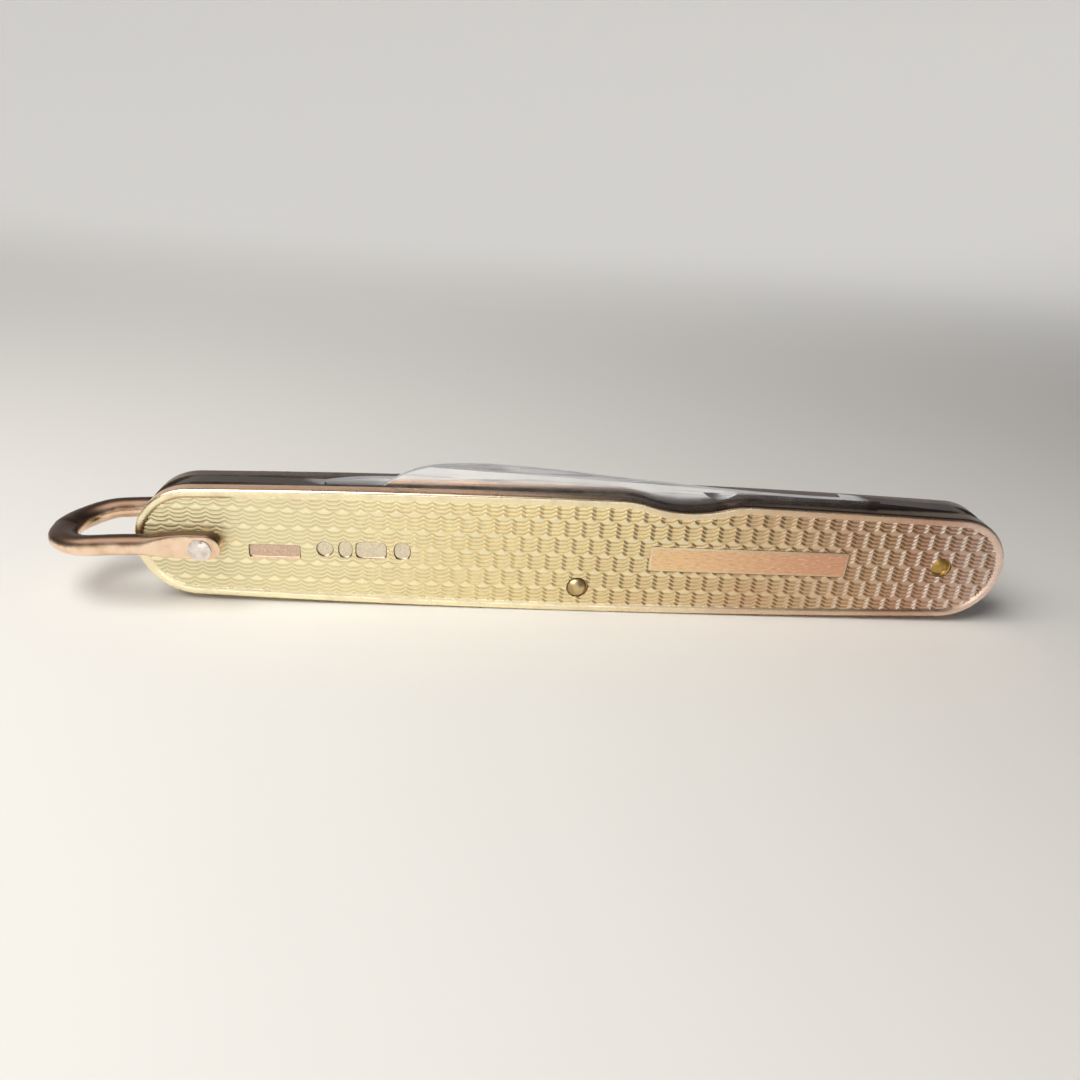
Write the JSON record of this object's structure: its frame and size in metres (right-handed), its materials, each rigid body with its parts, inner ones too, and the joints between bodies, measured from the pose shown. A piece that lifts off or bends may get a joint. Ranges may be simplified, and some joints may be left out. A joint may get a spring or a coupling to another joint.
{
  "type": "folding pocket knife",
  "caption": "Slim folding pocket knife with engine-turned gold covers, a main blade and a smaller blade on a shared back spring, and a swinging bail for a chain.",
  "frame": {"origin": "middle of the underside of the bounding box of the closed knife, which stands on its back with the bail level", "axes": "+X from the bail to the main blade's pivot, +Z to the backs of the closed blades, -Y out of the front cover"},
  "size_m": [0.0904, 0.0092, 0.0139],
  "materials": {
    "gold": "engine-turned sheet gold with a polished rim",
    "core": "plain rolled brass, hidden",
    "liner": "fine-ground rosy brass",
    "spring_steel": "ground spring steel",
    "blade_steel": "polished steel with fine grinding lines",
    "brass_pin": "peened and polished brass",
    "gold_pin": "domed and polished",
    "steel_pin": "peened and polished steel",
    "rose_gold": "polished, rubbed by a chain"
  },
  "bodies": {
    "handle": {"front_cover": "gold", "back_cover": "gold", "front_core": "core", "back_core": "core", "front_liner": "liner", "back_liner": "liner", "back_spring": "spring_steel", "main_pivot_pin": "brass_pin", "spring_pin": "gold_pin"},
    "main_blade": {"main_blade": "blade_steel"},
    "second_blade": {"second_blade": "blade_steel"},
    "bail_pin": {"bail_pin": "steel_pin"},
    "bail": {"bail": "rose_gold"}
  },
  "joints": [
    {"name": "main_blade_open", "type": "hinge", "parent": "handle", "child": "main_blade", "pos_m": [0.03905, 0, 0.006], "axis": [0, 1, 0], "range_deg": [0, 176]},
    {"name": "second_blade_open", "type": "hinge", "parent": "handle", "child": "second_blade", "pos_m": [-0.03055, 0, 0.006], "axis": [0, -1, 0], "range_deg": [0, 178]},
    {"name": "bail_yield", "type": "hinge", "parent": "handle", "child": "bail_pin", "pos_m": [-0.03055, 0, 0.006], "axis": [0, -1, 0], "range_deg": [0, 32]},
    {"name": "bail_swing", "type": "hinge", "parent": "bail_pin", "child": "bail", "pos_m": [-0.03055, 0, 0.006], "axis": [0, 1, 0], "range_deg": [0, 110]}
  ],
  "couplings": [
    {"joint": "bail_yield", "follows": "second_blade_open", "ratio": 0.1764}
  ]
}
